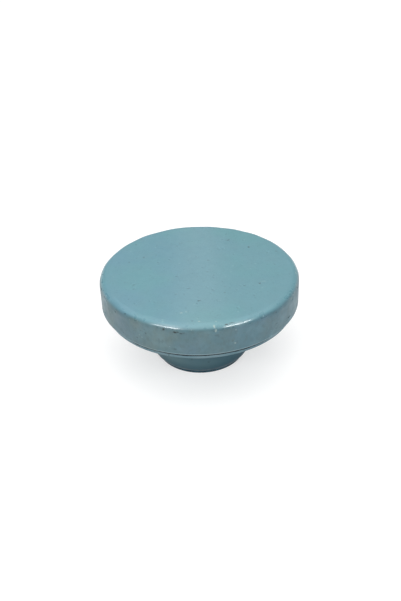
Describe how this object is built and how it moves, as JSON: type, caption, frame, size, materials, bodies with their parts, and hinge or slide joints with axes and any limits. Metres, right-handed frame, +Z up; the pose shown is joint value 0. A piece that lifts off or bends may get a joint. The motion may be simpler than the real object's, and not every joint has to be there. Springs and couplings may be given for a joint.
{
  "type": "air stone",
  "caption": "Disc air stone on a hollow weighted foot: a porous plate bonded to a flange, a barbed hose tail at the back and a spring check valve inside.",
  "frame": {"origin": "centre of the foot's contact with the ground, on the disc's axis", "axes": "+Z up along the disc's axis; +Y towards the hose tail at the back"},
  "size_m": [0.1, 0.1, 0.0476],
  "materials": {
    "porous_stone": "satin",
    "housing": "satin",
    "sealant": "satin",
    "foot_rubber": "matte",
    "seal_rubber": "satin",
    "silicone": "satin",
    "valve_plastic": "satin",
    "brass": "satin",
    "stainless": "satin",
    "ballast": "matte"
  },
  "bodies": {
    "housing": {"diffuser_stone": "porous_stone", "stone_bond_ring": "sealant", "base_housing": "housing", "foot_ring": "foot_rubber", "bottom_cover": "housing", "cover_gasket": "seal_rubber", "cover_oring": "seal_rubber", "cover_screws": "stainless", "screw_inserts": "brass", "ballast_left": "ballast", "ballast_right": "ballast", "valve_body": "valve_plastic", "valve_body_oring": "seal_rubber", "valve_spring": "stainless", "valve_guide": "valve_plastic", "valve_clip": "stainless", "hose_tail": "brass", "hose_tail_oring": "seal_rubber"},
    "poppet": {"valve_poppet": "valve_plastic", "poppet_seal": "silicone"}
  },
  "joints": [
    {"name": "poppet_lift", "type": "slide", "parent": "housing", "child": "poppet", "axis": [0, 0, 1], "range_m": [0, 0.002], "stiffness_N_per_m": 105, "springref_m": -0.001, "deforming": ["valve_spring"]}
  ]
}
